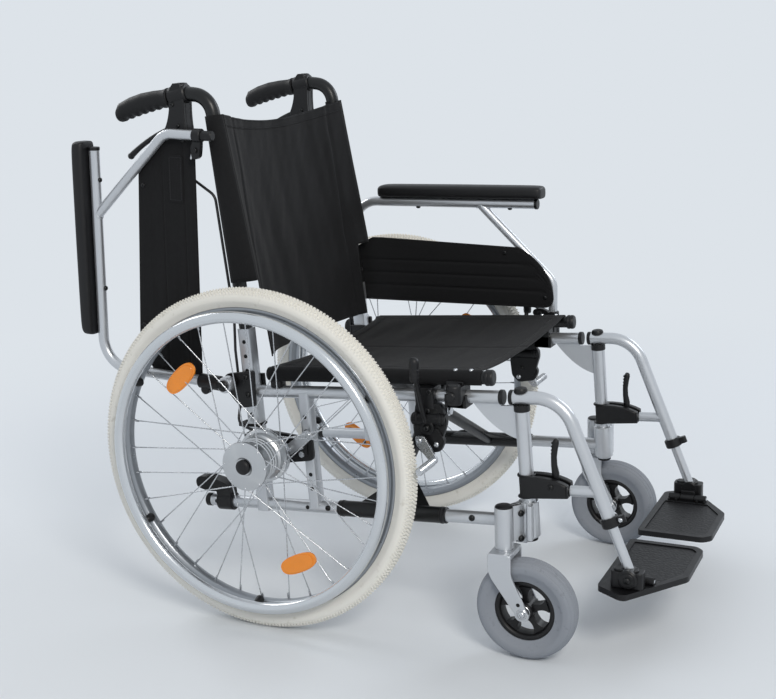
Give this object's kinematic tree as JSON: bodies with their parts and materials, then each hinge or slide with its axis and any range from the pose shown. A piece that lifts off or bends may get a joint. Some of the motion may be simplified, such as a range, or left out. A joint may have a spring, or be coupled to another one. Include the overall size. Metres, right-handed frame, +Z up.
{
  "type": "folding wheelchair",
  "caption": "Folding wheelchair with a cross-braced frame, flip-back armrests, swing-away legrests, swivel casters, parking brakes and drum brakes.",
  "frame": {"origin": "on the floor, under the middle of the whole length and width", "axes": "+Z up, +Y towards the back of the chair (it faces -Y), +X towards its left side"},
  "size_m": [0.7066, 1.0888, 0.9415],
  "materials": {
    "silver": "satin anodised tube",
    "black_steel": "black powder coat",
    "grip": "matt moulded rubber",
    "black_plastic": "fine moulded texture",
    "cable": "black cable sheath",
    "cream_tyre": "cream solid tyre",
    "rim": "clear anodised rim",
    "polished": "bright finish",
    "gray_tyre": "gray solid tyre",
    "pad": "soft moulded skin",
    "bolt": "zinc plated",
    "nylon": "black nylon weave"
  },
  "bodies": {
    "left_frame": {"left_side_frame": "silver", "left_back_tube": "black_steel", "left_push_grip": "grip", "left_brake_cable": "cable", "left_armrest_bracket": "black_steel", "left_armrest_receiver": "black_plastic", "left_axle_bracket": "black_steel", "left_caster_housing": "silver", "left_parking_brake_body": "black_steel", "back_sling": "nylon"},
    "right_frame": {"right_side_frame": "silver", "right_back_tube": "black_steel", "right_push_grip": "grip", "right_brake_cable": "cable", "right_armrest_bracket": "black_steel", "right_armrest_receiver": "black_plastic", "right_axle_bracket": "black_steel", "right_caster_housing": "silver", "right_parking_brake_body": "black_steel", "tipping_pedal": "black_plastic"},
    "brace_left": {"cross_brace_left": "black_steel", "brace_pivot_bolt": "bolt", "seat_sling": "nylon"},
    "brace_right": {"cross_brace_right": "black_steel"},
    "left_wheel": {"left_rear_tyre": "cream_tyre", "left_rear_rim": "rim", "left_handrim": "polished", "left_wheel_hub": "polished"},
    "left_caster_fork": {"left_caster_fork": "silver"},
    "left_caster_wheel": {"left_caster_tyre": "gray_tyre", "left_caster_rim": "black_plastic"},
    "left_armrest": {"left_armrest_tube": "silver", "left_arm_pad": "pad", "left_side_panel": "black_plastic"},
    "left_legrest": {"left_hanger": "silver", "left_latch_housing": "black_plastic"},
    "left_latch_lever": {"left_latch_lever": "black_plastic"},
    "left_extension": {"left_leg_extension": "silver"},
    "left_footplate": {"left_footplate": "black_plastic"},
    "left_drum_lever": {"left_drum_brake_lever": "black_plastic"},
    "left_parking_lever": {"left_parking_brake_lever": "black_steel"},
    "left_parking_shoe": {"left_parking_brake_shoe": "black_steel"},
    "right_wheel": {"right_rear_tyre": "cream_tyre", "right_rear_rim": "rim", "right_handrim": "polished", "right_wheel_hub": "polished"},
    "right_caster_fork": {"right_caster_fork": "silver"},
    "right_caster_wheel": {"right_caster_tyre": "gray_tyre", "right_caster_rim": "black_plastic"},
    "right_armrest": {"right_armrest_tube": "silver", "right_arm_pad": "pad", "right_side_panel": "black_plastic"},
    "right_legrest": {"right_hanger": "silver", "right_latch_housing": "black_plastic"},
    "right_latch_lever": {"right_latch_lever": "black_plastic"},
    "right_extension": {"right_leg_extension": "silver"},
    "right_footplate": {"right_footplate": "black_plastic"},
    "right_drum_lever": {"right_drum_brake_lever": "black_plastic"},
    "right_parking_lever": {"right_parking_brake_lever": "black_steel"},
    "right_parking_shoe": {"right_parking_brake_shoe": "black_steel"}
  },
  "joints": [
    {"name": "fold", "type": "hinge", "parent": "left_frame", "child": "brace_left", "pos_m": [0.222, -0.04702, 0.20547], "axis": [0, 0.9984, -0.0558], "range_deg": [0, 41], "deforming": ["seat_sling", "back_sling"]},
    {"name": "brace_pivot", "type": "hinge", "parent": "brace_left", "child": "brace_right", "pos_m": [0, -0.04025, 0.32653], "axis": [0, 0.9984, -0.0558], "range_deg": [-82, 0]},
    {"name": "right_rail_pivot", "type": "hinge", "parent": "brace_right", "child": "right_frame", "pos_m": [-0.222, -0.04702, 0.20547], "axis": [0, 0.9984, -0.0558], "range_deg": [0, 41]},
    {"name": "left_wheel_axle", "type": "hinge", "parent": "left_frame", "child": "left_wheel", "pos_m": [0.309, 0.17064, 0.303], "axis": [1, 0, 0], "continuous": true},
    {"name": "left_caster_swivel", "type": "hinge", "parent": "left_frame", "child": "left_caster_fork", "pos_m": [0.265, -0.26736, 0.22], "axis": [0, 0, 1], "continuous": true},
    {"name": "left_caster_axle", "type": "hinge", "parent": "left_caster_fork", "child": "left_caster_wheel", "pos_m": [0.265, -0.30536, 0.0855], "axis": [1, 0, 0], "continuous": true},
    {"name": "left_armrest_flip", "type": "hinge", "parent": "left_frame", "child": "left_armrest", "pos_m": [0.26, 0.24964, 0.42], "axis": [-1, 0, 0], "range_deg": [0, 87.5]},
    {"name": "left_legrest_swing", "type": "hinge", "parent": "left_frame", "child": "left_legrest", "pos_m": [0.222, -0.29105, 0.31927], "axis": [0, 0.0558, 0.9984], "range_deg": [0, 90]},
    {"name": "left_latch_release", "type": "hinge", "parent": "left_legrest", "child": "left_latch_lever", "pos_m": [0.222, -0.34225, 0.29909], "axis": [1, 0, 0], "range_deg": [0, 18], "stiffness_Nm_per_rad": 0.5, "springref_deg": -17.19},
    {"name": "left_leg_length", "type": "slide", "parent": "left_legrest", "child": "left_extension", "axis": [0, -0.3697, -0.9291], "range_m": [-0.04, 0.06]},
    {"name": "left_footplate_flip", "type": "hinge", "parent": "left_extension", "child": "left_footplate", "pos_m": [0.203, -0.46507, 0.134], "axis": [0, 1, 0], "range_deg": [0, 88.2]},
    {"name": "left_drum_brake", "type": "hinge", "parent": "left_frame", "child": "left_drum_lever", "pos_m": [0.222, 0.32775, 0.86947], "axis": [1, 0, 0], "range_deg": [0, 10], "stiffness_Nm_per_rad": 1, "springref_deg": -17.19},
    {"name": "left_parking_brake", "type": "hinge", "parent": "left_frame", "child": "left_parking_lever", "pos_m": [0.24, -0.12936, 0.372], "axis": [1, 0, 0], "range_deg": [0, 25]},
    {"name": "left_parking_shoe_swing", "type": "hinge", "parent": "left_frame", "child": "left_parking_shoe", "pos_m": [0.26, -0.11936, 0.352], "axis": [1, 0, 0], "range_deg": [0, 7]},
    {"name": "right_wheel_axle", "type": "hinge", "parent": "right_frame", "child": "right_wheel", "pos_m": [-0.309, 0.17064, 0.303], "axis": [1, 0, 0], "continuous": true},
    {"name": "right_caster_swivel", "type": "hinge", "parent": "right_frame", "child": "right_caster_fork", "pos_m": [-0.265, -0.26736, 0.22], "axis": [0, 0, 1], "continuous": true},
    {"name": "right_caster_axle", "type": "hinge", "parent": "right_caster_fork", "child": "right_caster_wheel", "pos_m": [-0.265, -0.30536, 0.0855], "axis": [1, 0, 0], "continuous": true},
    {"name": "right_armrest_flip", "type": "hinge", "parent": "right_frame", "child": "right_armrest", "pos_m": [-0.26, 0.24964, 0.42], "axis": [1, 0, 0], "range_deg": [0, 87.5]},
    {"name": "right_legrest_swing", "type": "hinge", "parent": "right_frame", "child": "right_legrest", "pos_m": [-0.222, -0.29105, 0.31927], "axis": [0, -0.0558, -0.9984], "range_deg": [0, 90]},
    {"name": "right_latch_release", "type": "hinge", "parent": "right_legrest", "child": "right_latch_lever", "pos_m": [-0.222, -0.34225, 0.29909], "axis": [1, 0, 0], "range_deg": [0, 18], "stiffness_Nm_per_rad": 0.5, "springref_deg": -17.19},
    {"name": "right_leg_length", "type": "slide", "parent": "right_legrest", "child": "right_extension", "axis": [0, -0.3697, -0.9291], "range_m": [-0.04, 0.06]},
    {"name": "right_footplate_flip", "type": "hinge", "parent": "right_extension", "child": "right_footplate", "pos_m": [-0.203, -0.46507, 0.134], "axis": [0, -1, 0], "range_deg": [0, 88.2]},
    {"name": "right_drum_brake", "type": "hinge", "parent": "right_frame", "child": "right_drum_lever", "pos_m": [-0.222, 0.32775, 0.86947], "axis": [1, 0, 0], "range_deg": [0, 10], "stiffness_Nm_per_rad": 1, "springref_deg": -17.19},
    {"name": "right_parking_brake", "type": "hinge", "parent": "right_frame", "child": "right_parking_lever", "pos_m": [-0.24, -0.12936, 0.372], "axis": [1, 0, 0], "range_deg": [0, 25]},
    {"name": "right_parking_shoe_swing", "type": "hinge", "parent": "right_frame", "child": "right_parking_shoe", "pos_m": [-0.26, -0.11936, 0.352], "axis": [1, 0, 0], "range_deg": [0, 7]}
  ],
  "couplings": [
    {"joint": "brace_pivot", "follows": "fold", "ratio": -2},
    {"joint": "right_rail_pivot", "follows": "fold", "ratio": 1},
    {"joint": "left_footplate_flip", "follows": "fold", "ratio": 2.15},
    {"joint": "left_parking_shoe_swing", "follows": "left_parking_brake", "ratio": 0.27},
    {"joint": "right_footplate_flip", "follows": "fold", "ratio": 2.15},
    {"joint": "right_parking_shoe_swing", "follows": "right_parking_brake", "ratio": 0.27}
  ]
}
